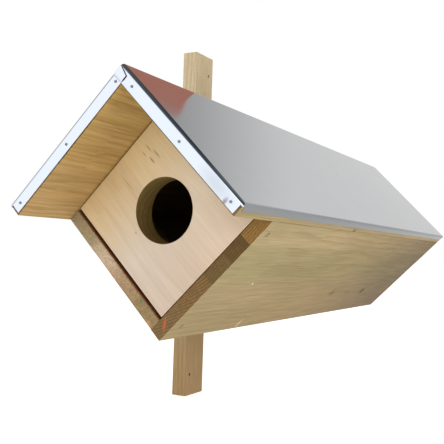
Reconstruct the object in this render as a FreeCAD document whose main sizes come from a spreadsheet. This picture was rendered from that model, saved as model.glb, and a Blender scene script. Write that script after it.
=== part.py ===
import FreeCAD, Part
import os
import re
import Sketcher

# A long nest box with a square section, carried on one corner so that two sides make the roof.
# The roof boards reach forward past the two lower boards as a porch. A thick door with a round
# entrance closes the front and swings out on two screws. A folded zinc sheet covers the roof,
# and an upright batten on the left corner fixes the box to a post or a wall.
#
# The batten's frame is the frame of the whole: X runs from the batten's back towards the box,
# Y from the porch to the rear, Z up. Everything on the box is drawn in the ridge's own frame,
# whose directions are u, down the right slope, y, to the rear, and v, down the left slope,
# all counted from the ridge's front end. The whole ridge frame is then turned onto its corner.

SIZES = (
    ("box_side", 190, "outside width of the square section"),
    ("board", 15, "thickness of the roof, side and back boards"),
    ("roof_length", 820, "length of the roof boards"),
    ("porch", 80, "how far the roof reaches in front of the side boards"),
    ("entrance", 70, "diameter of the round entrance"),
    ("door_thickness", 30, "thickness of the door"),
    ("door_clearance", 1, "play between the door and the boards beside it"),
    ("swing_gap", 3.7, "gap below the door's free edge"),
    ("pivot_drop", 17, "from the right roof board's underside to the pivot line"),
    ("pivot_play", 0.05, "gap round a pivot screw inside the door"),
    ("pivot_reach", 20, "how far a pivot screw reaches into the door"),
    ("pivot_end_play", 1, "depth of the pivot bore past the screw's tip"),
    ("stop_rise", 6, "from the lower left board's inner face up to the stop screw"),
    ("stop_depth", 18, "from the door's front face to the stop screw"),
    ("stop_play", 0.3, "gap between the stop screw and the door's notch"),
    ("stop_reach", 12, "how far the stop screw reaches inside the side board"),
    ("stop_room", 2, "room above the stop screw in the door's notch"),
    ("screw", 4, "diameter of the wood screws"),
    ("screw_head", 6.5, "diameter of a countersunk screw head"),
    ("screw_cone", 2, "height of a countersunk screw head"),
    ("screw_sink", 0.3, "depth of a screw head below the wood"),
    ("zinc", 0.6, "thickness of the roof sheet"),
    ("bend", 3, "inside radius of the roof sheet's folds"),
    ("end_flange", 13.7, "height of the sheet's folds over the roof boards' ends"),
    ("eave_flange", 8, "height of the sheet's folds over the eaves"),
    ("corner_slit", 3, "width of the open slit where two folds meet"),
    ("nail", 1.6, "diameter of the nails"),
    ("nail_head", 2.8, "diameter of a nail head"),
    ("nail_cap", 0.5, "height of a nail head"),
    ("nail_length", 35, "length of the nails that join the boards"),
    ("sheet_nail_length", 25, "length of the nails through the roof sheet"),
    ("nail_sink", 1.5, "depth of the joining nails' shoulders below the wood"),
    ("nail_end", 30, "from a board's end to its first joining nail"),
    ("ridge_nail_left", 17, "from the ridge to the left fold's first nail"),
    ("ridge_nail_right", 26, "from the ridge to the right fold's first nail"),
    ("eave_nail", 11, "from the eave to each fold's last nail"),
    ("fold_nail", 8, "from the roof's outside to the nails in its end folds"),
    ("foothold_height", 20, "how far a foothold strip stands off its board"),
    ("foothold_depth", 12, "thickness of a foothold strip along the box"),
    ("foothold_place", 86, "from the door's front face to the foothold strips"),
    ("foothold_nail", 106, "from the ridge's corner line to the foothold nails"),
    ("nail_cover", 5, "wood left past the tip of a foothold nail"),
    ("batten_thickness", 22, "thickness of the batten"),
    ("batten_width", 48, "width of the batten along the box"),
    ("batten_length", 500, "length of the batten"),
    ("batten_place", 370, "from the roof's front to the batten's middle"),
    ("notch", 8, "depth of the notch that seats the box's corner"),
    ("batten_screw_length", 40, "length of the screws from the batten into the box"),
    ("batten_screw_rise", 8, "from the box's corner up or down to the batten screws"),
    ("batten_screw_spread", 14, "from the batten's middle to its screws"),
    ("fixing_hole", 4.5, "diameter of the two holes that fix the batten"),
    ("fixing_inset_top", 28, "from the batten's top to the upper hole"),
    ("fixing_inset_bottom", 30, "from the batten's bottom to the lower hole"),
    ("fixing_edge", 11, "from the batten's long edges to the holes"),
)
CORNER_UP = 45  # the turn, in degrees, that stands the square on its corner
JOINING_NAILS = 4  # nails in a row along the box
OVERRUN = 5  # how far a cutting tool runs past what it cuts
TOUCH = 1e-4  # two places closer than this are the same
DRAFT = 10  # side of a section as first drawn, before its sizes set it

doc = FreeCAD.newDocument("nest_box")
sizes = doc.addObject("Spreadsheet::Sheet", "sizes")
for row, (alias, amount, meaning) in enumerate(SIZES, start=1):
    sizes.set(f"A{row}", alias)
    sizes.set(f"B{row}", str(amount))
    sizes.set(f"C{row}", meaning)
    sizes.setAlias(f"B{row}", alias)
doc.recompute()

ALIASES = [alias for alias, amount, meaning in SIZES]
sub_parts = []


def amount_of(alias):
    return float(sizes.get(alias))


def formula(text):
    """Turn size names into references to the spreadsheet."""
    return re.sub("[a-z_]+", lambda word: f"sizes.{word[0]}" if word[0] in ALIASES else word[0], text)


def bind(item, **links):
    """Bind properties to formulas, with __ for the dots of a property's path."""
    for path, text in links.items():
        item.setExpression(path.replace("__", "."), formula(text))


def add(kind, name):
    return doc.addObject(kind, name)


# ---- pieces in the ridge's frame: x is u, y is y, and z is minus v ----

TURNS = {
    "+u": FreeCAD.Rotation(FreeCAD.Vector(0, 1, 0), 90),
    "-u": FreeCAD.Rotation(FreeCAD.Vector(0, 1, 0), -90),
    "+y": FreeCAD.Rotation(FreeCAD.Vector(1, 0, 0), -90),
    "-y": FreeCAD.Rotation(FreeCAD.Vector(1, 0, 0), 90),
    "+v": FreeCAD.Rotation(FreeCAD.Vector(1, 0, 0), 180),
    "-v": FreeCAD.Rotation(),
}
OPPOSITE = {"+u": "-u", "-u": "+u", "+y": "-y", "-y": "+y", "+v": "-v", "-v": "+v"}


def put(item, start, along):
    """Start a round piece at a (u, y, v) place and run it along a direction."""
    item.Placement.Rotation = TURNS[along]
    u, y, v = start
    bind(item, Placement__Base__x=u, Placement__Base__y=y, Placement__Base__z=f"-({v})")
    return item


def block(name, u, y, v):
    """A plain block; u, y and v are each a start and a size."""
    item = add("Part::Box", name)
    bind(item, Length=u[1], Width=y[1], Height=v[1])
    bind(item, Placement__Base__x=u[0], Placement__Base__y=y[0], Placement__Base__z=f"-({v[0]} + {v[1]})")
    return item


def rod(name, start, along, diameter, length):
    item = add("Part::Cylinder", name)
    bind(item, Radius=f"({diameter}) / 2", Height=length)
    return put(item, start, along)


def taper(name, start, along, wide, narrow, length):
    item = add("Part::Cone", name)
    bind(item, Radius1=f"({wide}) / 2", Radius2=f"({narrow}) / 2", Height=length)
    return put(item, start, along)


def fuse(name, pieces):
    item = add("Part::MultiFuse", name)
    item.Shapes = pieces
    return item


def cut(name, base, tools):
    item = add("Part::Cut", name)
    item.Base = base
    item.Tool = tools[0] if len(tools) == 1 else fuse(f"{name}_cutters", tools)
    return item


def moved(start, along, distance):
    """The place that lies a distance along a direction from a start."""
    place = list(start)
    axis = "uyv".index(along[1])
    place[axis] = f"{start[axis]} {along[0]} ({distance})"
    return place


def plank(name, u, y, v, round_hole=None):
    """A body padded along the box from a rectangle, with an optional round hole through it."""
    body = add("PartDesign::Body", f"{name}_body")
    sketch = body.newObject("Sketcher::SketchObject", f"{name}_section")
    front = next(plane for plane in body.Origin.OriginFeatures if plane.Role == "XZ_Plane")
    sketch.AttachmentSupport = [(front, "")]
    sketch.MapMode = "FlatFace"
    bind(sketch, AttachmentOffset__Base__x=u[0], AttachmentOffset__Base__y=f"-({v[0]} + {v[1]})")
    bind(sketch, AttachmentOffset__Base__z=f"-({y[0]})")
    corners = [FreeCAD.Vector(x, z, 0) for x, z in ((0, 0), (DRAFT, 0), (DRAFT, DRAFT), (0, DRAFT))]
    for side in range(4):
        sketch.addGeometry(Part.LineSegment(corners[side], corners[(side + 1) % 4]), False)
    for side in range(4):
        sketch.addConstraint(Sketcher.Constraint("Coincident", side, 2, (side + 1) % 4, 1))
        sketch.addConstraint(Sketcher.Constraint("Vertical" if side % 2 else "Horizontal", side))
    sketch.addConstraint(Sketcher.Constraint("Coincident", 0, 1, -1, 1))
    name_size(sketch, Sketcher.Constraint("DistanceX", 0, 1, 0, 2, DRAFT), "across", u[1])
    name_size(sketch, Sketcher.Constraint("DistanceY", 1, 1, 1, 2, DRAFT), "upright", v[1])
    if round_hole:
        diameter, across, upright = round_hole
        middle = FreeCAD.Vector(DRAFT / 2, DRAFT / 2, 0)
        circle = Part.Circle(middle, FreeCAD.Vector(0, 0, 1), DRAFT / 4)
        hole = sketch.addGeometry(circle, False)
        name_size(sketch, Sketcher.Constraint("Diameter", hole, 4), "hole", diameter)
        for kind, name, text in (("X", "hole_across", across), ("Y", "hole_upright", upright)):
            distance = Sketcher.Constraint(f"Distance{kind}", -1, 1, hole, 3, DRAFT / 2)
            name_size(sketch, distance, name, text)
    pad = body.newObject("PartDesign::Pad", f"{name}_length")
    pad.Profile = sketch
    pad.Reversed = True
    bind(pad, Length=y[1])
    doc.recompute()
    return body


def name_size(sketch, constraint, name, text):
    number = sketch.addConstraint(constraint)
    sketch.renameConstraint(number, name)
    sketch.setExpression(f"Constraints.{name}", formula(text))


def round_edges(body, radius, chosen):
    """Round the edges whose middles the test picks out."""
    base = body.Tip
    edges = enumerate(base.Shape.Edges, start=1)
    names = [f"Edge{number}" for number, edge in edges if chosen(edge.CenterOfMass)]
    fillet = body.newObject("PartDesign::Fillet", f"{body.Name}_rounding")
    fillet.Base = (base, names)
    bind(fillet, Radius=radius)
    body.Tip = fillet
    doc.recompute()


def countersunk(name, start, along, length):
    """A wood screw whose head lies just below the surface where it starts."""
    head = moved(start, along, "screw_sink")
    cone = taper(f"{name}_cone", head, along, "screw_head", "screw", "screw_cone")
    neck = moved(head, along, "screw_cone")
    shank = rod(f"{name}_shank", neck, along, "screw", f"{length} - screw_cone")
    return fuse(name, [cone, shank])


def screw_seat(name, start, along, length):
    """What a countersunk screw takes away from the wood it goes through."""
    head = moved(start, along, "screw_sink")
    neck = moved(head, along, "screw_cone")
    above = moved(start, OPPOSITE[along], str(OVERRUN))
    return [
        rod(f"{name}_mouth", above, along, "screw_head", f"screw_sink + {OVERRUN}"),
        taper(f"{name}_seat", head, along, "screw_head", "screw", "screw_cone"),
        rod(f"{name}_bore", neck, along, "screw", f"{length} - screw_cone"),
    ]


def nail_in(name, start, along, length):
    """A nail whose head stands out of the surface where it starts."""
    head = rod(f"{name}_head", start, OPPOSITE[along], "nail_head", "nail_cap")
    shank = rod(f"{name}_shank", start, along, "nail", length)
    return fuse(name, [head, shank])


def sub_part(label, item):
    item.Label = label
    sub_parts.append(item)


def box_part(label, item):
    """Turn a finished piece from the ridge's frame onto its place beside the batten."""
    item.Placement = FreeCAD.Placement(
        FreeCAD.Vector(), FreeCAD.Rotation(FreeCAD.Vector(0, 1, 0), CORNER_UP)
    )
    bind(
        item,
        Placement__Base__x="batten_thickness - notch + (box_side + 2 * zinc) / sqrt(2)",
        Placement__Base__y="-batten_place",
        Placement__Base__z="box_side / sqrt(2)",
    )
    sub_part(label, item)


def nail_group(label, nails):
    group = add("Part::Compound", label)
    group.Links = [
        nail_in(f"{label}_{number}", start, along, length)
        for number, (start, along, length) in enumerate(nails, start=1)
    ]
    box_part(label, group)


def spaced(first, last, count):
    """Places that divide a run evenly, from its first to its last."""
    return [f"{first} + ({last} - ({first})) * {step} / {count - 1}" for step in range(count)]


# ---- the square box ----

INNER = "box_side - board"
PIVOT_V = "board + pivot_drop"
PIVOT_Y = "porch + door_thickness / 2"
STOP_V = f"{INNER} - stop_rise"
STOP_Y = "porch + stop_depth"
WHOLE = ("0", "roof_length")
LOWER = ("porch", "roof_length - porch")


def make_roof_boards():
    lap = -amount_of("board")  # the height of the joint between the two boards

    def on_left_face(middle):
        return abs(middle.x) < TOUCH and abs(middle.z - lap) > TOUCH

    right = plank("roof_right", ("0", "box_side"), WHOLE, ("0", "board"))
    round_edges(right, "bend", lambda middle: abs(middle.z) < TOUCH or on_left_face(middle))
    box_part("roof_board_right", right)

    left = plank("roof_left", ("0", "board"), WHOLE, ("board", "box_side - board"))
    round_edges(left, "bend", on_left_face)
    seat = screw_seat("left_pivot_hole", ("0", PIVOT_Y, PIVOT_V), "+u", "board + pivot_reach")
    box_part("roof_board_left", cut("roof_left_drilled", left, seat))


def make_side_boards():
    right = plank("side_right", (INNER, "board"), LOWER, ("board", "box_side - board"))
    pivot = screw_seat("right_pivot_hole", ("box_side", PIVOT_Y, PIVOT_V), "-u", "board + pivot_reach")
    stop = screw_seat("stop_hole", ("box_side", STOP_Y, STOP_V), "-u", "board + stop_reach")
    box_part("side_board_right", cut("side_right_drilled", right, pivot + stop))

    left = plank("side_left", ("board", "box_side - 2 * board"), LOWER, (INNER, "board"))
    box_part("side_board_left", left)


def make_back_panel():
    inside = ("board", "box_side - 2 * board")
    box_part("back_panel", plank("back", inside, ("roof_length - board", "board"), inside))


def make_footholds():
    """Two strips across the lower boards, just inside, that the birds step over."""
    along = ("porch + foothold_place", "foothold_depth")
    left = plank("step_left", ("board", "box_side - 2 * board"), along,
                 (f"{INNER} - foothold_height", "foothold_height"))
    right = plank("step_right", (f"{INNER} - foothold_height", "foothold_height"), along,
                  ("board", "box_side - 2 * board - foothold_height"))
    box_part("foothold_left", left)
    box_part("foothold_right", right)


# ---- the door and what it turns on ----

def make_door():
    free_edge = f"{INNER} - swing_gap"
    door = plank(
        "door",
        ("board + door_clearance", "box_side - 2 * board - 2 * door_clearance"),
        ("porch", "door_thickness"),
        ("board + door_clearance", f"{free_edge} - board - door_clearance"),
        ("entrance", "box_side / 2 - board - door_clearance", f"{free_edge} - box_side / 2"),
    )
    top = -(amount_of("board") + amount_of("door_clearance"))
    front = amount_of("porch")
    round_edges(door, "door_thickness / 2",
                lambda middle: abs(middle.z - top) < TOUCH and abs(middle.y - front) < TOUCH)
    bore = "screw + 2 * pivot_play"
    depth = f"pivot_reach + pivot_end_play + {OVERRUN}"
    left = rod("door_bore_left", (f"board - {OVERRUN}", PIVOT_Y, PIVOT_V), "+u", bore, depth)
    right = rod("door_bore_right", (f"{INNER} + {OVERRUN}", PIVOT_Y, PIVOT_V), "-u", bore, depth)
    notch = block(
        "door_stop_notch",
        (f"{INNER} - stop_reach - pivot_end_play", f"stop_reach + pivot_end_play + {OVERRUN}"),
        (f"{STOP_Y} - screw / 2 - stop_play", f"door_thickness + {OVERRUN}"),
        (f"{STOP_V} - screw / 2 - stop_room", f"stop_rise + screw / 2 + stop_room + {OVERRUN}"),
    )
    box_part("front_door", cut("door_drilled", door, [left, right, notch]))


def make_door_screws():
    length = "board + pivot_reach - screw_sink"
    left = countersunk("pivot_left", ("0", PIVOT_Y, PIVOT_V), "+u", length)
    right = countersunk("pivot_right", ("box_side", PIVOT_Y, PIVOT_V), "-u", length)
    stop = countersunk("stop", ("box_side", STOP_Y, STOP_V), "-u", "board + stop_reach - screw_sink")
    box_part("pivot_screw_left", left)
    box_part("pivot_screw_right", right)
    box_part("stop_screw", stop)


# ---- the nails that join the boards ----

def make_joining_nails():
    """Rows of nails with their heads punched below the wood."""
    sunk = "nail_sink"
    proud = "box_side - nail_sink"
    mid_board = "board / 2"
    mid_edge = f"{INNER} + board / 2"
    roof_row = spaced("nail_end", "roof_length - nail_end", JOINING_NAILS)
    lower_row = spaced("porch + nail_end", "roof_length - nail_end", JOINING_NAILS)
    nail_group("ridge_nails", [((mid_board, y, sunk), "+v", "nail_length") for y in roof_row])
    nail_group("eave_nails_right", [((mid_edge, y, sunk), "+v", "nail_length") for y in lower_row])
    nail_group("eave_nails_left", [((sunk, y, mid_edge), "+u", "nail_length") for y in lower_row])
    nail_group("keel_nails", [((proud, y, mid_edge), "-u", "nail_length") for y in lower_row])
    y = "roof_length - board / 2"
    panel_nails = []
    for place in ("box_side / 3", "box_side * 2 / 3"):
        panel_nails.append(((sunk, y, place), "+u", "nail_length"))
        panel_nails.append(((proud, y, place), "-u", "nail_length"))
        panel_nails.append(((place, y, sunk), "+v", "nail_length"))
        panel_nails.append(((place, y, proud), "-v", "nail_length"))
    nail_group("back_panel_nails", panel_nails)


def make_foothold_nails():
    y = "porch + foothold_place + foothold_depth / 2"
    nail_group("foothold_nails", [
        (("box_side", y, "foothold_nail"), "-u", "board + foothold_height - nail_cover"),
        (("foothold_nail", y, "box_side"), "-v", "board + foothold_height - nail_cover"),
    ])


# ---- the roof sheet ----

def folded_block(name, room):
    """The boards' square block, larger by room, with the roof side's edges rounded."""
    size = f"box_side + 2 * ({room})"
    start = f"-({room})"
    body = plank(name, (start, size), (start, f"roof_length + 2 * ({room})"), (start, size))
    face = amount_of(room) if room in ALIASES else 0
    round_edges(body, f"bend + {room}",
                lambda middle: abs(middle.x + face) < TOUCH or abs(middle.z - face) < TOUCH)
    return body


def make_roof_sheet():
    """A shell over the two roof boards, folded down at both ends and at the eaves."""
    shell = cut("sheet_shell", folded_block("sheet_outside", "zinc"), [folded_block("sheet_inside", "0")])
    edge = "bend + zinc"
    out = f"-zinc - {OVERRUN}"
    past = f"zinc + {OVERRUN}"
    whole = (out, f"box_side + 2 * ({past})")
    length = (out, f"roof_length + 2 * ({past})")
    ends = {
        "front": (out, f"{past} + {edge}"),
        "rear": (f"roof_length - ({edge})", f"{edge} + {past}"),
    }
    eave = (out, f"eave_flange + {past}")
    fold = (out, f"end_flange + {past}")
    kept = [block("keep_right_eave", whole, length, eave), block("keep_left_eave", eave, length, whole)]
    slits = []
    for end, run in ends.items():
        kept.append(block(f"keep_{end}_right", whole, run, fold))
        kept.append(block(f"keep_{end}_left", fold, run, whole))
        slit = ("box_side - corner_slit + zinc", f"corner_slit + {OVERRUN}")
        drop = ("corner_slit", f"end_flange + {OVERRUN}")
        slits.append(block(f"slit_{end}_right", slit, run, drop))
        slits.append(block(f"slit_{end}_left", drop, run, slit))
    sheet = add("Part::MultiCommon", "sheet_kept")
    sheet.Shapes = [shell, fuse("sheet_keep", kept)]
    box_part("roof_sheet", cut("sheet_folded", sheet, slits))


def make_sheet_nails():
    """Three nails through each fold at each end of the roof."""
    last = "box_side - eave_nail"
    for label, y, along in (
        ("roof_nails_front", "-zinc", "+y"),
        ("roof_nails_rear", "roof_length + zinc", "-y"),
    ):
        nails = []
        for place in spaced("ridge_nail_left", last, 3):
            nails.append((("fold_nail", y, place), along, "sheet_nail_length"))
        for place in spaced("ridge_nail_right", last, 3):
            nails.append(((place, y, "fold_nail"), along, "sheet_nail_length"))
        nail_group(label, nails)


# ---- the batten, drawn where it stands ----

def upright_rod(name, x, y, z, diameter, length):
    """A round piece that runs along X from a place on the batten."""
    item = add("Part::Cylinder", name)
    item.Placement.Rotation = TURNS["+u"]
    bind(item, Radius=f"({diameter}) / 2", Height=length)
    bind(item, Placement__Base__x=x, Placement__Base__y=y, Placement__Base__z=z)
    return item


def upright_cone(name, x, y, z):
    item = add("Part::Cone", name)
    item.Placement.Rotation = TURNS["+u"]
    bind(item, Radius1="screw_head / 2", Radius2="screw / 2", Height="screw_cone")
    bind(item, Placement__Base__x=x, Placement__Base__y=y, Placement__Base__z=z)
    return item


def batten_screw_places():
    for above in ("", "-"):
        for behind in ("", "-"):
            yield f"{behind}batten_screw_spread", f"{above}batten_screw_rise"


def make_batten():
    post = add("Part::Box", "batten_stock")
    bind(post, Length="batten_thickness", Width="batten_width", Height="batten_length")
    bind(post, Placement__Base__y="-batten_width / 2", Placement__Base__z="-batten_length / 2")
    seat = add("Part::Box", "batten_notch")
    seat.Placement.Rotation = FreeCAD.Rotation(FreeCAD.Vector(0, 1, 0), CORNER_UP)
    clear = f"batten_width + {2 * OVERRUN}"
    bind(seat, Length="2 * batten_thickness", Width=clear, Height="2 * batten_thickness")
    bind(seat, Placement__Base__x="batten_thickness - notch", Placement__Base__y=f"-({clear}) / 2")
    through = f"batten_thickness + {2 * OVERRUN}"
    holes = [
        upright_rod("fixing_top", f"-{OVERRUN}", "batten_width / 2 - fixing_edge",
                    "batten_length / 2 - fixing_inset_top", "fixing_hole", through),
        upright_rod("fixing_bottom", f"-{OVERRUN}", "fixing_edge - batten_width / 2",
                    "fixing_inset_bottom - batten_length / 2", "fixing_hole", through),
    ]
    for number, (y, z) in enumerate(batten_screw_places(), start=1):
        name = f"batten_screw_hole_{number}"
        holes.append(upright_rod(f"{name}_mouth", f"-{OVERRUN}", y, z, "screw_head",
                                 f"{OVERRUN} + screw_sink"))
        holes.append(upright_cone(f"{name}_seat", "screw_sink", y, z))
        holes.append(upright_rod(name, "screw_sink + screw_cone", y, z, "screw", through))
    sub_part("mounting_batten", cut("batten", post, [seat] + holes))


def make_batten_screws():
    screws = []
    for number, (y, z) in enumerate(batten_screw_places(), start=1):
        cone = upright_cone(f"batten_screw_{number}_cone", "screw_sink", y, z)
        shank = upright_rod(f"batten_screw_{number}_shank", "screw_sink + screw_cone", y, z, "screw",
                            "batten_screw_length - screw_cone")
        screws.append(fuse(f"batten_screw_{number}", [cone, shank]))
    group = add("Part::Compound", "batten_screw_group")
    group.Links = screws
    sub_part("batten_screws", group)


def check_document():
    for item in doc.Objects:
        for fault in ("Invalid", "Error"):
            if fault in item.State:
                raise RuntimeError(f"{item.Name} did not build: {item.State}")
    for item in sub_parts:
        if item.Shape.isNull() or not item.Shape.isValid():
            raise RuntimeError(f"{item.Label} has no valid shape")


make_roof_boards()
make_side_boards()
make_back_panel()
make_footholds()
make_door()
make_door_screws()
make_joining_nails()
make_foothold_nails()
make_roof_sheet()
make_sheet_nails()
make_batten()
make_batten_screws()
doc.recompute()
check_document()

os.makedirs("parts", exist_ok=True)
for item in sub_parts:
    item.Shape.exportStep(f"parts/{item.Label}.step")
    print(f"{item.Label}: {len(item.Shape.Solids)} solid, {item.Shape.Volume / 1000:.1f} cm3")
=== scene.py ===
import bmesh
import bpy
import math
from mathutils import Euler, Matrix, Vector


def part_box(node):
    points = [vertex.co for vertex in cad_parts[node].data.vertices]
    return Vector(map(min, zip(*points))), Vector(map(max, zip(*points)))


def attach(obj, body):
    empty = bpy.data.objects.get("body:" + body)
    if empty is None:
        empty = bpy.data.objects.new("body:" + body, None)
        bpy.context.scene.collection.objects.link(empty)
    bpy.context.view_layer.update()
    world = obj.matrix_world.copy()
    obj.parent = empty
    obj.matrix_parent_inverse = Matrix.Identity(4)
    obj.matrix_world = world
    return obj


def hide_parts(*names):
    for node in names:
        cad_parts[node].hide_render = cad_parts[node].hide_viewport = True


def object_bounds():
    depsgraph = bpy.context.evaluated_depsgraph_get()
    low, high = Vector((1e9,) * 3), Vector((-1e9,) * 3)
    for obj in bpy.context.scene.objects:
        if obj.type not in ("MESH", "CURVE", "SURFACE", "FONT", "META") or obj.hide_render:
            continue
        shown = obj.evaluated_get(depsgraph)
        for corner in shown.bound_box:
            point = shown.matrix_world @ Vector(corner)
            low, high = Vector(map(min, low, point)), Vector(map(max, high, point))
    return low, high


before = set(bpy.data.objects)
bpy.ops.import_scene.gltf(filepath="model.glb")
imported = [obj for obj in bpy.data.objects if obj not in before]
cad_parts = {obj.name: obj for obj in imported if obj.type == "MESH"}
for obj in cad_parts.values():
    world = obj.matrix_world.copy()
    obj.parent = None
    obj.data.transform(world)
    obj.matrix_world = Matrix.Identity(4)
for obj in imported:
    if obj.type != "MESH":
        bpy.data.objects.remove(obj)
cad_low, cad_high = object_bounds()
MM = 0.001


# ---- the box's own directions ----
# u runs down the right slope, y to the rear and v down the left slope, all from the ridge's front end.

def ridge_frame():
    """The matrix that carries a (u, y, -v) place, in metres, into the whole object's frame."""
    panel_low, panel_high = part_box("back_panel")
    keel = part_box("side_board_right")[0].z
    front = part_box("roof_board_left")[0].y
    ridge = Vector(((panel_low.x + panel_high.x) / 2, front, panel_low.z + panel_high.z - keel))
    return Matrix.Translation(ridge) @ Matrix.Rotation(math.radians(45), 4, "Y")


RIDGE = ridge_frame()
UNRIDGE = RIDGE.inverted()


def extent(node):
    """The low and high (u, y, v) of a CAD node, in metres."""
    places = [UNRIDGE @ vertex.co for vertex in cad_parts[node].data.vertices]
    uyv = [(place.x, place.y, -place.z) for place in places]
    return Vector(map(min, zip(*uyv))), Vector(map(max, zip(*uyv)))


BOX_AXIS = extent("side_board_right")[1].x / (2 * MM)  # from the ridge lines to the box's axis, in mm
CHAMBER_HALF = BOX_AXIS - extent("side_board_left")[0].x / MM + 1  # just past the boards' inner faces
DOOR_BACK = extent("front_door")[1].y / MM + 1
ROOF_LENGTH = (extent("roof_board_right")[1].y - extent("roof_board_right")[0].y) / MM
# The tone laid over the chamber's inside boards as painted shade.
INSIDE_SHADE_TONE = "#9a8f80"


# ---- materials ----

def linear(code):
    """An sRGB hex colour as linear red, green, blue and alpha."""
    parts = [int(code[place:place + 2], 16) / 255 for place in (1, 3, 5)]
    return [part / 12.92 if part <= 0.04045 else ((part + 0.055) / 1.055) ** 2.4 for part in parts] + [1]


def add_node(tree, kind, inputs=None, stops=None, blend="LINEAR", **settings):
    """Add a node with its settings, its sockets' values or links and its ramp's stops; give its outputs."""
    new = tree.nodes.new("ShaderNode" + kind)
    for name, value in settings.items():
        setattr(new, name, value)
    for socket, value in (inputs or {}).items():
        if isinstance(value, bpy.types.NodeSocket):
            tree.links.new(value, new.inputs[socket])
        else:
            new.inputs[socket].default_value = value
    if stops:
        ramp = new.color_ramp
        while len(ramp.elements) < len(stops):
            ramp.elements.new(1)
        for element, (position, colour) in zip(ramp.elements, stops):
            element.position = position
            element.color = linear(colour) if isinstance(colour, str) else (colour, colour, colour, 1)
        ramp.interpolation = blend
    return new.outputs


def new_material(name):
    material = bpy.data.materials.new(name)
    material.use_nodes = True
    return material, material.node_tree, material.node_tree.nodes["Principled BSDF"]


def mm_places(tree, turned):
    """The surface point in millimetres, in the ridge's frame when turned and in the batten's when not."""
    where = add_node(tree, "TexCoord")["Object"]
    origin = RIDGE.to_translation() if turned else Vector()
    turn = RIDGE.to_euler() if turned else Euler()
    return add_node(tree, "Mapping", {0: where, 1: origin, 2: turn, 3: (MM, MM, MM)},
                    vector_type="TEXTURE")[0]


def scaled(tree, places, sizes, shift=(0, 0, 0)):
    """Coordinates whose unit is a real size in millimetres along each axis."""
    return add_node(tree, "Mapping", {0: places, 1: shift, 3: [1 / size for size in sizes]})[0]


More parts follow.
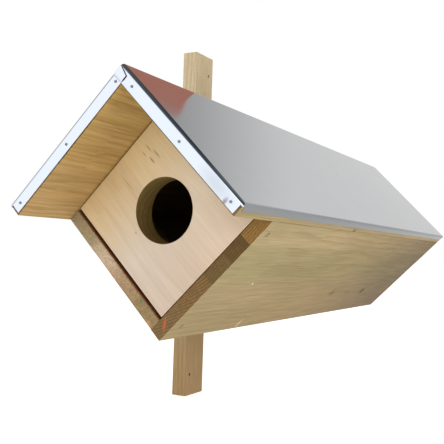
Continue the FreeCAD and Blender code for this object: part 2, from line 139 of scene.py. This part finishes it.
def pine(name, look, turned=True):
    """Pine: a solid with growth rings, fibres, glued staves and knots, so its ends show end grain."""
    material, tree, shader = new_material(name)
    places = mm_places(tree, turned)
    axes = add_node(tree, "SeparateXYZ", {0: places})
    down = add_node(tree, "Math", {0: axes[2], 1: -1.0}, operation="MULTIPLY")[0]
    named = {"u": axes[0], "y": axes[1], "v": down, "z": axes[2]}
    along, across, deep = (named[letter] for letter in look["axes"])

    # Staves: a stepped ramp gives each one a number, and finger joints give each length its own.
    wide = look["width"]
    starts = [border / wide for border in [0] + look["borders"]]
    share = add_node(tree, "Math", {0: across, 1: wide}, operation="DIVIDE")[0]
    numbers = [(start, number / 10) for number, start in enumerate(starts)]
    stave = add_node(tree, "ValToRGB", {0: share}, stops=numbers, blend="CONSTANT")[0]
    slip = add_node(tree, "Math", {0: stave, 1: look["slip"]}, operation="MULTIPLY")[0]
    next_joint = look["joint"] + look["joint_step"]
    run = add_node(tree, "MapRange", {0: along, 1: look["joint"], 2: next_joint}, clamp=False)[0]
    run = add_node(tree, "Math", {0: run, 1: slip}, operation="ADD")[0]
    length = add_node(tree, "Math", {0: run}, operation="FLOOR")[0]
    cell = add_node(tree, "CombineXYZ", {0: stave, 1: length, 2: look["seed"]})[0]
    chance = add_node(tree, "TexWhiteNoise", {0: cell}, noise_dimensions="3D")
    lot = add_node(tree, "SeparateColor", {0: chance["Color"]})

    # Rings: the distance from a pith that lies somewhere else for each length, bent by slow noise.
    bend = add_node(tree, "TexNoise",
                    {"Vector": scaled(tree, places, look["bend_mm"]), "Scale": 1.0, "Detail": 2.0})[0]
    sway = add_node(tree, "Math", {0: bend, 1: look["sway"]}, operation="MULTIPLY")[0]
    pith = add_node(tree, "MapRange", {0: lot[0], 3: -look["pith_side"], 4: look["pith_side"]})[0]
    off = add_node(tree, "Math", {0: across, 1: pith}, operation="ADD")[0]
    off = add_node(tree, "Math", {0: off, 1: wide / 2}, operation="SUBTRACT")[0]
    depth = add_node(tree, "MapRange", {0: lot[1], 3: look["pith_near"], 4: look["pith_far"]})[0]
    under = add_node(tree, "Math", {0: deep, 1: depth}, operation="ADD")[0]
    reach = add_node(tree, "CombineXYZ", {0: off, 1: under})[0]
    reach = add_node(tree, "VectorMath", {0: reach}, operation="LENGTH")["Value"]
    reach = add_node(tree, "Math", {0: reach, 1: sway}, operation="ADD")[0]
    ring = add_node(tree, "Math", {0: reach, 1: look["ring"]}, operation="DIVIDE")[0]
    ring = add_node(tree, "Math", {0: ring}, operation="FRACT")[0]
    late = add_node(tree, "ValToRGB", {0: ring}, stops=[(0, 0.0), (0.45, 0.12), (0.86, 1.0), (1, 0.0)])[0]

    # Faces: the stave's tone, slow patches, the rings' late wood and long thin fibres.
    fibre = add_node(tree, "TexNoise", {"Vector": scaled(tree, places, look["fibre_mm"]), "Scale": 1.0,
                                        "Detail": 3.0, "Roughness": 0.6})[0]
    patch = add_node(tree, "TexNoise", {"Vector": scaled(tree, places, look["patch_mm"]), "Scale": 1.0,
                                        "Detail": 2.0})[0]
    face = add_node(tree, "ValToRGB", {0: share}, stops=list(zip(starts, look["tones"])), blend="CONSTANT")[0]
    uneven = add_node(tree, "MapRange", {0: lot[2], 3: 1 - look["uneven"], 4: 1 + look["uneven"]})[0]
    face = add_node(tree, "VectorMath", {0: face, 3: uneven}, operation="SCALE")[0]
    patchy = add_node(tree, "MapRange", {0: patch, 1: 0.35, 2: 0.7, 3: 0.0, 4: look["patch"]})[0]
    face = add_node(tree, "Mix", {0: patchy, 6: face, 7: linear(look["patch_tone"])}, data_type="RGBA")[2]
    rings = add_node(tree, "Math", {0: late, 1: look["late"]}, operation="MULTIPLY")[0]
    face = add_node(tree, "Mix", {0: rings, 6: face, 7: linear(look["late_tone"])}, data_type="RGBA")[2]
    streak = add_node(tree, "MapRange",
                      {0: fibre, 1: 0.3, 2: 0.72, 3: 1 + look["fibre"], 4: 1 - look["fibre"]})[0]
    face = add_node(tree, "VectorMath", {0: face, 3: streak}, operation="SCALE")[0]
    if "tone_and_shade_along" in look:  # a slow change of tone along the board, as the photo has it, part of which is light
        first, last = look["tone_and_shade_along"][0][0], look["tone_and_shade_along"][-1][0]
        travel = add_node(tree, "MapRange", {0: along, 1: first, 2: last})[0]
        stops = [((at - first) / (last - first), tone) for at, tone in look["tone_and_shade_along"]]
        tone_and_shade_along = add_node(tree, "ValToRGB", {0: travel}, stops=stops)[0]
        face = add_node(tree, "Mix", {0: 1.0, 6: face, 7: tone_and_shade_along}, data_type="RGBA", blend_type="MULTIPLY")[2]

    # Ends: cut across the fibres, each stave with its own soaked tone and bolder rings.
    facing = add_node(tree, "TexCoord")["Normal"]
    cut_way = RIDGE.to_3x3() @ Vector(look["cut_way"]) if turned else Vector(look["cut_way"])
    turned_to = add_node(tree, "VectorMath", {0: facing, 1: cut_way}, operation="DOT_PRODUCT")["Value"]
    turned_to = add_node(tree, "Math", {0: turned_to}, operation="ABSOLUTE")[0]
    is_cut = add_node(tree, "MapRange", {0: turned_to, 1: look["cut_from"], 2: look["cut_to"]})[0]
    end = add_node(tree, "ValToRGB", {0: share}, stops=list(zip(starts, look["end_tones"])),
                   blend=look.get("end_blend", "CONSTANT"))[0]
    end_rings = add_node(tree, "Math", {0: late, 1: look["end_late"]}, operation="MULTIPLY")[0]
    end = add_node(tree, "Mix", {0: end_rings, 6: end, 7: linear(look["end_late_tone"])}, data_type="RGBA")[2]
    pores = add_node(tree, "TexNoise", {"Vector": scaled(tree, places, (look["pore"],) * 3), "Scale": 1.0,
                                        "Detail": 3.0, "Roughness": 0.7})[0]
    pores = add_node(tree, "MapRange",
                     {0: pores, 1: 0.3, 2: 0.7, 3: 1 + look["pores"], 4: 1 - look["pores"]})[0]
    end = add_node(tree, "VectorMath", {0: end, 3: pores}, operation="SCALE")[0]
    colour = add_node(tree, "Mix", {0: is_cut, 6: face, 7: end}, data_type="RGBA")[2]

    # Knots, resin streaks and flecks, each a soft blot with a fibrous edge.
    for at, size, tone, strength, *lean in look.get("marks", ()):
        tilt = (0, math.radians(lean[0]) if lean else 0, 0)
        away = add_node(tree, "Mapping", {0: places, 1: at, 2: tilt, 3: size}, vector_type="TEXTURE")[0]
        away = add_node(tree, "VectorMath", {0: away}, operation="LENGTH")["Value"]
        rough_edge = add_node(tree, "Math", {0: away, 1: fibre}, operation="ADD")[0]
        shade = add_node(tree, "MapRange", {0: rough_edge, 1: 0.9, 2: 1.7, 3: strength, 4: 0.0})[0]
        colour = add_node(tree, "Mix", {0: shade, 6: colour, 7: linear(tone)}, data_type="RGBA")[2]

    # Painted shade: inside the chamber a darker tone makes up for light that still reaches the boards.
    if turned:
        from_axis = add_node(tree, "VectorMath", {0: places, 1: (BOX_AXIS, 0, -BOX_AXIS)},
                             operation="SUBTRACT")[0]
        parts = add_node(tree, "SeparateXYZ", {0: from_axis})
        beside = add_node(tree, "Math", {0: parts[0]}, operation="ABSOLUTE")[0]
        below = add_node(tree, "Math", {0: parts[2]}, operation="ABSOLUTE")[0]
        farthest = add_node(tree, "Math", {0: beside, 1: below}, operation="MAXIMUM")[0]
        within = add_node(tree, "Math", {0: farthest, 1: CHAMBER_HALF}, operation="LESS_THAN")[0]
        behind = add_node(tree, "Math", {0: axes[1], 1: DOOR_BACK}, operation="GREATER_THAN")[0]
        inside = add_node(tree, "Math", {0: within, 1: behind}, operation="MULTIPLY")[0]
        inside_painted_shade = linear(look.get("inside", INSIDE_SHADE_TONE))
        colour = add_node(tree, "Mix", {0: inside, 6: colour, 7: inside_painted_shade}, data_type="RGBA",
                          blend_type="MULTIPLY")[2]

    tree.links.new(colour, shader.inputs["Base Color"])
    shader.inputs["IOR"].default_value = 1.5
    shader.inputs["Specular IOR Level"].default_value = 0.3
    rough = add_node(tree, "MapRange", {0: fibre, 3: look["rough"] - 0.08, 4: look["rough"] + 0.1})[0]
    tree.links.new(rough, shader.inputs["Roughness"])
    height = add_node(tree, "Math", {0: fibre, 1: rings}, operation="ADD")[0]
    bump = add_node(tree, "Bump", {"Strength": look["bump"], "Distance": 0.3 * MM, "Height": height})[0]
    tree.links.new(bump, shader.inputs["Normal"])
    return material


# Pressure-treated pine, edge glued from finger-jointed staves: olive to tan, with darker soaked ends.
TREATED = {
    "width": 190, "borders": [47, 74, 104, 147], "slip": 7.3, "joint": 245, "joint_step": 295,
    "seed": 3.0, "bend_mm": (50, 260, 50), "sway": 10.0, "pith_side": 60, "pith_near": 12, "pith_far": 70,
    "ring": 2.8, "fibre_mm": (1.6, 60, 1.6), "patch_mm": (30, 160, 30), "uneven": 0.05,
    "tones": ["#a9956b", "#9c8b60", "#9c8c60", "#9c8860", "#99845c"], "patch": 0.45, "patch_tone": "#877b4c",
    "late": 0.3, "late_tone": "#7d6636", "fibre": 0.14,
    "end_tones": ["#86622a", "#583f15", "#624c24", "#73562c", "#735832"], "end_late": 0.6,
    "end_late_tone": "#3a2a10", "rough": 0.7, "bump": 0.25,
    "cut_way": (0, 1, 0), "cut_from": 0.5, "cut_to": 0.85, "pore": 2.2, "pores": 0.22,
}
GAP_SHADE = ("#6b3415", 0.95)  # painted shade: the dark line on a board beside a narrow gap, where shade falls
ACROSS_U = {"axes": "uvy", "cut_way": (1, 0, 0), "bend_mm": (260, 50, 50), "fibre_mm": (60, 1.6, 1.6),
            "patch_mm": (160, 30, 30)}
ACROSS_V = {"axes": "vuy", "cut_way": (0, 0, 1), "bend_mm": (50, 50, 260), "fibre_mm": (1.6, 1.6, 60),
            "patch_mm": (30, 30, 160)}


def wood_materials():
    return {
        "side_board_right": pine("treated_pine_right_side", {
            **TREATED, "axes": "yvu",
            # Partly painted shade: the right side darkens towards the rear.
            "tone_and_shade_along": [(80, "#f5f5f5"), (450, "#e2dccf"), (820, "#a69c90")],
            "marks": [((190, 495, -139), (6, 12, 6), "#5f4d28", 0.8),
                      ((190, 570, -141), (6, 11, 4), "#6b5833", 0.7),
                      ((190, 650, -141), (6, 11, 7), "#3f3013", 0.95),
                      ((190, 785, -149), (6, 14, 5), "#6f5a38", 0.6),
                      ((190, 246, -181), (3, 2.5, 9), "#d3b184", 0.7),
                      ((190, 243, -175), (3, 2, 4), "#a3452c", 0.6),
                      ((182, 80, -173.5), (1.8, 4, 8.5), "#b0562c", 0.8, -38),
                      ((175, 92, -95), (1.5, 13, 150), *GAP_SHADE)]}),
        "side_board_left": pine("treated_pine_left_side", {
            **TREATED, "axes": "yuv", "seed": 8.0, "borders": [46, 78, 122, 152],
            "end_tones": ["#837050", "#8b7a58", "#b19b80", "#967b5c", "#856f4a"], "end_late": 0.25,
            "end_late_tone": "#6e5c38", "end_blend": "EASE", "ring": 1.9, "sway": 16,
            "pore": 1.8, "pores": 0.35,
            "marks": [((95, 98, -175), (170, 48, 1.6), *GAP_SHADE),
                      ((145, 80, -179), (4, 4, 3), "#5f6040", 0.6),
                      ((98, 80, -187.5), (6, 3, 1.3), "#b0623c", 0.5),
                      ((112, 80, -188.5), (4, 3, 1), "#a85a38", 0.5),
                      ((168, 80, -188), (5, 4, 2.5), "#b98a5c", 0.5)]}),
        "roof_board_left": pine("treated_pine_left_roof", {
            **TREATED, "axes": "yvu", "seed": 5.0, "borders": [62, 118],
            "uneven": 0.02, "fibre": 0.17,
            "tones": ["#b8985c", "#b29158", "#a98a58"], "end_tones": ["#86622a", "#5f4c22", "#73562c"],
            "bend_mm": (20, 150, 20), "patch_mm": (9, 90, 9), "patch": 0.6, "patch_tone": "#a07d44",
            "ring": 4.2, "late": 0.4, "late_tone": "#7c5c28", "joint": -500, "joint_step": 2000,
            "sway": 14, "marks": [((15, 92, -95), (1.5, 14, 150), *GAP_SHADE)]}),
        "roof_board_right": pine("treated_pine_right_roof", {
            **TREATED, "axes": "yuv", "seed": 6.0,
            "marks": [((190, 323, -13), (5, 6, 3), "#4b3718", 0.8)]}),
        "back_panel": pine("treated_pine_back", {**TREATED, **ACROSS_U, "seed": 9.0}),
        # The footholds inside the chamber take a lighter painted shade.
        "foothold_left": pine("treated_pine_left_foothold", {**TREATED, **ACROSS_U, "inside": "#b8ae9f"}),
        "foothold_right": pine("treated_pine_right_foothold", {**TREATED, **ACROSS_V, "inside": "#b8ae9f"}),
        "front_door": pine("planed_pine_door", {
            **TREATED, **ACROSS_U, "cut_way": (0, 1, 0), "cut_from": 0.5, "cut_to": 0.15,
            "borders": [96], "joint": -500, "joint_step": 2000,
            "bend_mm": (180, 50, 50), "fibre_mm": (50, 2.2, 2.2), "patch_mm": (120, 50, 50), "pith_far": 160,
            "pith_near": 120, "ring": 8.0, "sway": 12, "uneven": 0.02,
            "tones": ["#cabba5", "#c1b3a2"], "patch": 0.35, "patch_tone": "#c0ab8c", "late": 0.14,
            "late_tone": "#a58a66", "fibre": 0.06, "end_tones": ["#80693a", "#80693a"], "end_late": 0.3,
            "rough": 0.6, "bump": 0.12,
            # Partly painted shade: the door is warmer and darker towards its edge under the left roof board.
            "tone_and_shade_along": [(15, "#fff0c6"), (60, "#fbf1da"), (110, "#fdfcfc"), (175, "#f6eeec")],
            "marks": [((45, 80, -61), (7, 4, 0.9), "#6e5226", 0.7),
                      ((33, 80, -64), (6, 4, 0.8), "#7a5d30", 0.75),
                      ((46, 80, -69.5), (5, 4, 1.1), "#7f6334", 0.75),
                      ((34, 80, -72), (5, 4, 0.7), "#8a6d3c", 0.6),
                      ((41, 80, -108), (13, 4, 0.6), "#8f7444", 0.6),
                      ((88, 80, -136), (2, 3, 1.2), "#8a6d4a", 0.5)]}),
        "mounting_batten": pine("planed_pine_batten", {
            **TREATED, "axes": "zyu", "cut_way": (0, 0, 1), "borders": [96],
            "joint": -900, "joint_step": 2000,
            "bend_mm": (40, 40, 300), "fibre_mm": (1.4, 1.4, 24), "patch_mm": (40, 40, 160),
            "tones": ["#bfad8c", "#bfad8c"], "patch": 0.4, "patch_tone": "#b09468", "late": 0.4,
            "late_tone": "#8c7044", "fibre": 0.13, "end_tones": ["#a5895e", "#a5895e"],
            # Painted shade: the batten darkens towards its foot, below the box.
            "tone_and_shade_along": [(-250, "#c4b39c"), (-150, "#cdbfa8"), (150, "#ffffff"), (250, "#ffffff")],
        }, turned=False),
    }


# The dark band along the sheet's end folds, a painted reflection, in mm: its width at the ridge, at the eave
# and beside the lap.
BAND_AT_RIDGE, BAND_AT_EAVE, BAND_BY_LAP = 5.5, 2.0, 2.4
BY_LAP_FROM, BY_LAP_TO = 4.0, 60.0  # where the narrow band beside the lap widens, in mm from the ridge
EAVE_LINE_FROM, EAVE_LINE_TO = 2.4, 1.4  # where the thin dark line, a painted reflection, begins and is full, in mm above the eave
EAVE_LINE_STRENGTH = 0.6


def galvanised(name, tones, rough, ends, eave_reflection_tone, fold_reflection_tone, marks=()):
    """Zinc-coated steel sheet: smooth and softly mirror-like, with faint clouds and painted dark reflections at
    its folds.
    """
    material, tree, shader = new_material(name)
    places = mm_places(tree, True)
    axes = add_node(tree, "SeparateXYZ", {0: places})
    down = add_node(tree, "Math", {0: axes[2], 1: -1.0}, operation="MULTIPLY")[0]
    outermost = add_node(tree, "Math", {0: axes[0], 1: down}, operation="MAXIMUM")[0]
    eave = 2 * BOX_AXIS
    cloud = add_node(tree, "TexNoise",
                     {"Vector": scaled(tree, places, (35, 60, 35)), "Scale": 1.0, "Detail": 3.0})[0]
    colour = add_node(tree, "ValToRGB", {0: cloud}, stops=[(0.3, tones[0]), (0.7, tones[1])])[0]

    # Painted reflections: dark lines along the folds, wider near the ridge, and a darker eave fold. They lie
    # in fixed places on the sheet.
    facing = add_node(tree, "TexCoord")["Normal"]
    endways = add_node(tree, "VectorMath", {0: facing, 1: (0, 1, 0)}, operation="DOT_PRODUCT")["Value"]
    endways = add_node(tree, "Math", {0: endways}, operation="ABSOLUTE")[0]
    off_end = add_node(tree, "MapRange", {0: endways, 1: 0.95, 2: 0.85})[0]
    colour = add_node(tree, "Mix", {0: off_end, 6: linear(ends), 7: colour}, data_type="RGBA")[2]
    from_rear = add_node(tree, "Math", {0: ROOF_LENGTH, 1: axes[1]}, operation="SUBTRACT")[0]
    from_end = add_node(tree, "Math", {0: axes[1], 1: from_rear}, operation="MINIMUM")[0]
    width = add_node(tree, "MapRange", {0: outermost, 1: 0.0, 2: eave, 3: BAND_AT_RIDGE, 4: BAND_AT_EAVE})[0]
    near_ridge = add_node(tree, "MapRange", {0: outermost, 1: BY_LAP_FROM, 2: BY_LAP_TO,
                                             3: BAND_BY_LAP, 4: BAND_AT_RIDGE})[0]
    width = add_node(tree, "Math", {0: width, 1: near_ridge}, operation="MINIMUM")[0]
    past_end = add_node(tree, "Math", {0: width, 1: from_end}, operation="SUBTRACT")[0]
    on_fold = add_node(tree, "MapRange", {0: past_end, 1: -0.4, 2: 0.8})[0]
    at_eave = add_node(tree, "MapRange", {0: outermost, 1: eave - EAVE_LINE_FROM, 2: eave - EAVE_LINE_TO,
                                          4: EAVE_LINE_STRENGTH})[0]
    on_fold = add_node(tree, "Math", {0: on_fold, 1: at_eave}, operation="MAXIMUM")[0]
    darkened = add_node(tree, "Math", {0: on_fold, 1: off_end}, operation="MULTIPLY")[0]
    colour = add_node(tree, "Mix", {0: darkened, 6: colour, 7: linear(fold_reflection_tone)}, data_type="RGBA")[2]
    on_eave = add_node(tree, "MapRange", {0: outermost, 1: eave - 1, 2: eave})[0]
    on_eave = add_node(tree, "Math", {0: on_eave, 1: off_end}, operation="MULTIPLY")[0]
    colour = add_node(tree, "Mix", {0: on_eave, 6: colour, 7: linear(eave_reflection_tone)}, data_type="RGBA")[2]
    for at, size, tone, strength in marks:
        away = add_node(tree, "Mapping", {0: places, 1: at, 3: size}, vector_type="TEXTURE")[0]
        away = add_node(tree, "VectorMath", {0: away}, operation="LENGTH")["Value"]
        shade = add_node(tree, "MapRange", {0: away, 1: 0.3, 2: 1.2, 3: strength, 4: 0.0})[0]
        colour = add_node(tree, "Mix", {0: shade, 6: colour, 7: linear(tone)}, data_type="RGBA")[2]
    tree.links.new(colour, shader.inputs["Base Color"])
    shader.inputs["Metallic"].default_value = 1.0
    shader.inputs["Specular Tint"].default_value = linear("#dadada")
    spread = add_node(tree, "MapRange", {0: cloud, 1: 0.3, 2: 0.7, 3: rough - 0.03, 4: rough + 0.03})[0]
    tree.links.new(spread, shader.inputs["Roughness"])
    grit = add_node(tree, "TexNoise", {"Vector": scaled(tree, places, (1.5, 1.5, 1.5)), "Scale": 1.0})[0]
    bump = add_node(tree, "Bump", {"Strength": 0.02, "Distance": 0.1 * MM, "Height": grit})[0]
    tree.links.new(bump, shader.inputs["Normal"])
    return material


def wire_steel(name, tone, rough):
    """Drawn steel wire and pressed heads, dulled."""
    material, _, shader = new_material(name)
    shader.inputs["Base Color"].default_value = linear(tone)
    shader.inputs["Metallic"].default_value = 1.0
    shader.inputs["Roughness"].default_value = rough
    return material


# ---- pieces ----

def finish_piece(bm, name, material, body="box", bevel=None):
    mesh = bpy.data.meshes.new(name)
    bm.to_mesh(mesh)
    bm.free()
    mesh.materials.append(material)
    mesh.shade_smooth()
    mesh.set_sharp_from_angle(angle=math.radians(30))
    piece = bpy.data.objects.new(name, mesh)
    bpy.context.scene.collection.objects.link(piece)
    if bevel:
        softened = piece.modifiers.new("eased_edges", "BEVEL")
        softened.width = bevel
        softened.segments = 2
        softened.limit_method = "ANGLE"
        softened.angle_limit = math.radians(40)
        softened.use_clamp_overlap = True
    flats = piece.modifiers.new("flat_faces", "WEIGHTED_NORMAL")
    flats.keep_sharp = True
    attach(piece, body)
    return piece


def copy_of_node(node, name, material, body="box", bevel=None):
    """A piece in a node's place, whose mesh is the node's with its triangles merged."""
    bm = bmesh.new()
    bm.from_mesh(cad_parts[node].data)
    bmesh.ops.remove_doubles(bm, verts=bm.verts, dist=0.005 * MM)
    bmesh.ops.dissolve_limit(bm, angle_limit=math.radians(1), verts=bm.verts, edges=bm.edges)
    piece = finish_piece(bm, name, material, body, bevel)
    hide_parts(node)
    return piece


def make_wood():
    """Each board with its sharp arrises taken off."""
    for node, material in wood_materials().items():
        copy_of_node(node, f"{node}_eased", material, "door" if node == "front_door" else "box", 0.8 * MM)


# In mm: how far the lap stands off, how far its foot does, and its thickness.
LAP_LIFT, LAP_FOOT, LAP_THICKNESS = 1.25, 0.02, 0.6
# Rows of the lap, from its slanted end to its foot: the (u, v) of both edges, and how far the row stands off.
LAP_ROWS = (((2, 1.9), (14, 5.3), LAP_LIFT),
            ((1.2, 10), (14, 10), LAP_LIFT),
            ((1.2, 14.4), (14, 14.4), LAP_FOOT))


def ridge_lap(name, surface, outward, material):
    """The end of the left fold, cut on a slant and lapped over the right fold at the ridge."""
    bm = bmesh.new()
    last = None
    for left, right, stand in LAP_ROWS:
        level = surface / MM + stand * outward
        row = [bm.verts.new(RIDGE @ (Vector((u, level, -v)) * MM)) for u, v in (left, right)]
        if last:
            bm.faces.new([last[0], last[1], row[1], row[0]])
        last = row
    bmesh.ops.recalc_face_normals(bm, faces=bm.faces)
    wall = bmesh.ops.extrude_face_region(bm, geom=bm.faces[:])
    back = [item for item in wall["geom"] if isinstance(item, bmesh.types.BMVert)]
    inward = RIDGE.to_3x3() @ Vector((0, -LAP_THICKNESS * outward * MM, 0))
    bmesh.ops.translate(bm, verts=back, vec=inward)
    bmesh.ops.recalc_face_normals(bm, faces=bm.faces)
    return finish_piece(bm, name, material, "box", 0.15 * MM)


def make_metal():
    marks = [((174.5, 0, -12), (2.5, 3, 5), "#5f6266", 0.8), ((82, 442, 0), (2, 5, 3), "#8f9094", 0.6),
             ((158, 0, -8), (24, 3, 9), "#9fa5ae", 0.45)]
    # The darker eave fold and the dark fold lines are painted reflections.
    sheet = galvanised("galvanised_steel_sheet", ("#d4d5d7", "#dadbdd"), rough=0.14, ends="#c5cbd4",
                       eave_reflection_tone="#868889", fold_reflection_tone="#5a6670", marks=marks)
    copy_of_node("roof_sheet", "roof_sheet_folded", sheet)
    low, high = extent("roof_sheet")
    ridge_lap("ridge_lap_front", low.y, -1, sheet)
    ridge_lap("ridge_lap_rear", high.y, 1, sheet)
    dark_nails = wire_steel("dull_panel_pin", "#787b80", 0.45)
    bright_nails = wire_steel("bright_panel_pin", "#d9d3c4", 0.5)
    screws = wire_steel("dull_zinc_screw", "#8c8464", 0.6)
    for node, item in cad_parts.items():
        metal = None
        if "screw" in node:
            metal = screws
        elif node == "foothold_nails":
            metal = bright_nails
        elif "nails" in node:
            metal = dark_nails
        if metal:
            item.data.materials.clear()
            item.data.materials.append(metal)


# ---- stage, light and camera ----

def make_stage():
    """A plain pale floor that runs on into the white room behind it."""
    bm = bmesh.new()
    bmesh.ops.create_circle(bm, cap_ends=True, segments=96, radius=30)
    floor_level = cad_low.z - 2 * MM
    bmesh.ops.translate(bm, verts=bm.verts, vec=(0, 0, floor_level))
    mesh = bpy.data.meshes.new("floor")
    bm.to_mesh(mesh)
    bm.free()
    material, _, shader = new_material("white_paper_floor")
    shader.inputs["Base Color"].default_value = linear("#f4f4f4")
    shader.inputs["Roughness"].default_value = 0.9
    shader.inputs["Specular IOR Level"].default_value = 0.0
    shader.inputs["Emission Color"].default_value = linear("#ffffff")
    shader.inputs["Emission Strength"].default_value = 0.72
    mesh.materials.append(material)
    floor = bpy.data.objects.new("floor", mesh)
    bpy.context.scene.collection.objects.link(floor)


def make_card():
    """A glowing red card upright over the ridge's front end, seen only in the metal.

    It stands for something out of the picture that the right slope mirrors in the photo. Its outline was worked
    out from the photo's patch, so the patch has the photo's shape only from the photo's camera. The left slope
    mirrors it too when seen from below at the front left.
    """
    bm = bmesh.new()
    ridge_top = RIDGE.to_translation()
    # Corners in mm, back from the ridge's front end and up. The card stands just left of the ridge.
    outline = ((-20, -1), (137, -1), (174, 36), (265, 103), (150, 95))
    left_of_ridge = -2
    bm.faces.new([bm.verts.new(ridge_top + Vector((left_of_ridge, back, up)) * MM) for back, up in outline])
    mesh = bpy.data.meshes.new("red_card")
    bm.to_mesh(mesh)
    bm.free()
    material, _, shader = new_material("glowing_red_card")
    shader.inputs["Base Color"].default_value = linear("#000000")
    shader.inputs["Specular IOR Level"].default_value = 0.0
    shader.inputs["Emission Color"].default_value = linear("#cb8b7b")
    shader.inputs["Emission Strength"].default_value = 1.0
    mesh.materials.append(material)
    card = bpy.data.objects.new("red_card", mesh)
    card.visible_camera = False
    card.visible_diffuse = False
    card.visible_shadow = False
    bpy.context.scene.collection.objects.link(card)


# The room's brightness by how far up a ray points: 0 is level, 1 is straight up, and all below level is white.
# It was set to give the roof the photo's tones.
ROOM_HEIGHTS = [(0, 1.0), (0.4, 1.0), (0.5, 0.64), (0.57, 0.4),
                (0.64, 0.22), (0.78, 0.3), (0.92, 0.5), (1, 0.6)]


def make_light():
    world = bpy.data.worlds.new("white_room")
    bpy.context.scene.world = world
    world.use_nodes = True
    tree = world.node_tree
    way = add_node(tree, "TexCoord")["Generated"]
    rise = add_node(tree, "SeparateXYZ", {0: way})[2]
    room = add_node(tree, "ValToRGB", {0: rise}, stops=ROOM_HEIGHTS)[0]
    tree.links.new(room, tree.nodes["Background"].inputs["Color"])
    tree.nodes["Background"].inputs["Strength"].default_value = 1.0
    aim = Vector((0.15, -0.2, 0))
    for name, at, size, power in (
        ("key_softbox", Vector((0.6, -2.2, 0.5)), 1.2, 8),
        ("left_softbox", Vector((-1.3, -2.8, 0.4)), 2.4, 10),
        ("side_softbox", Vector((2.2, -1.0, 0.7)), 1.2, 13.5),
    ):
        lamp = bpy.data.lights.new(name, "AREA")
        lamp.shape = "SQUARE"
        lamp.size = size
        lamp.energy = power
        lamp.color = (0.96, 0.98, 1.0)
        light = bpy.data.objects.new(name, lamp)
        light.matrix_world = Matrix.Translation(at) @ (at - aim).to_track_quat("Z", "Y").to_matrix().to_4x4()
        bpy.context.scene.collection.objects.link(light)


# The photo's camera, fitted to its corners: place in mm from the ridge's front end, angles in degrees.
CAMERA_PLACE, CAMERA_TURN, CAMERA_TILT, CAMERA_ROLL = (403.7, -533.2, -174.5), 28.62, 2.35, 1.87
CAMERA_LENS, CAMERA_SENSOR = 57.47, 36  # mm


def make_camera():
    lens = bpy.data.cameras.new("camera")
    lens.sensor_width = CAMERA_SENSOR
    lens.lens = CAMERA_LENS
    camera = bpy.data.objects.new("camera", lens)
    from_ridge = Vector(CAMERA_PLACE) * MM
    turn = Matrix.Rotation(math.radians(CAMERA_TURN), 4, "Z")
    tilt = Matrix.Rotation(math.radians(90 + CAMERA_TILT), 4, "X")
    roll = Matrix.Rotation(math.radians(CAMERA_ROLL), 4, "Z")
    camera.matrix_world = Matrix.Translation(RIDGE.to_translation() + from_ridge) @ turn @ tilt @ roll
    bpy.context.scene.collection.objects.link(camera)
    bpy.context.scene.camera = camera
    bpy.context.scene.view_settings.view_transform = "Standard"


make_camera()
make_wood()
make_metal()
make_stage()
make_card()
make_light()
